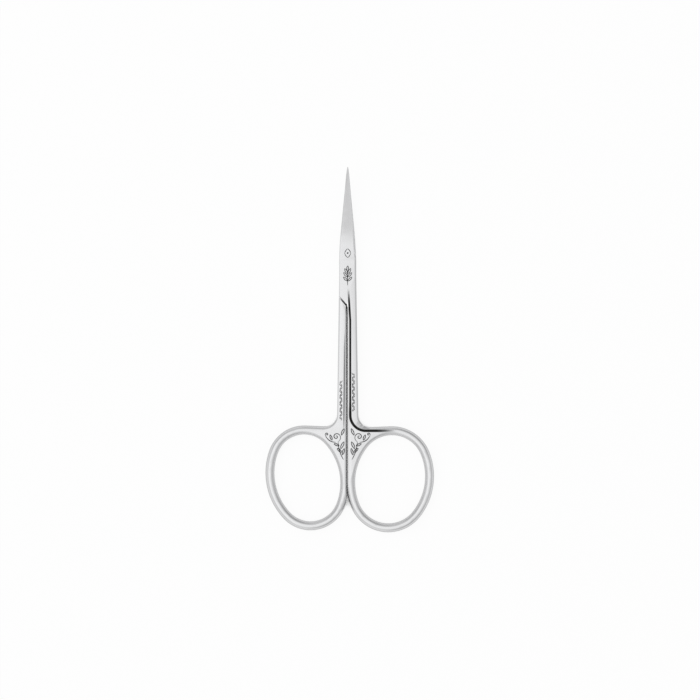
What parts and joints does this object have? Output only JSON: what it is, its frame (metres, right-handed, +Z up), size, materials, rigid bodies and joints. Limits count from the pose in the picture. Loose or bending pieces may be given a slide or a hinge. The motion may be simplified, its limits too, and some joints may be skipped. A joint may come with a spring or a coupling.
{
  "type": "cuticle scissors",
  "caption": "Slim forged cuticle scissors with curved pointed blades, a screwed lap joint, long shanks and oval finger rings.",
  "frame": {"origin": "on the resting plane, under the middle of the closed pair's outline", "axes": "+Y along the scissors to the tips, +Z up through the front face, +X towards the ring of the front half"},
  "size_m": [0.0486, 0.1052, 0.0056],
  "materials": {
    "half_steel": "satin polished, with darker ground grooves",
    "screw_steel": "turned and polished"
  },
  "bodies": {
    "front": {"front_half": "half_steel", "pivot_screw": "screw_steel"},
    "rear": {"rear_half": "half_steel"}
  },
  "joints": [
    {"name": "pivot", "type": "hinge", "parent": "front", "child": "rear", "pos_m": [-0.00059, 0.02161, 0.0015], "axis": [0, 0, -1], "range_deg": [0, 130]}
  ]
}
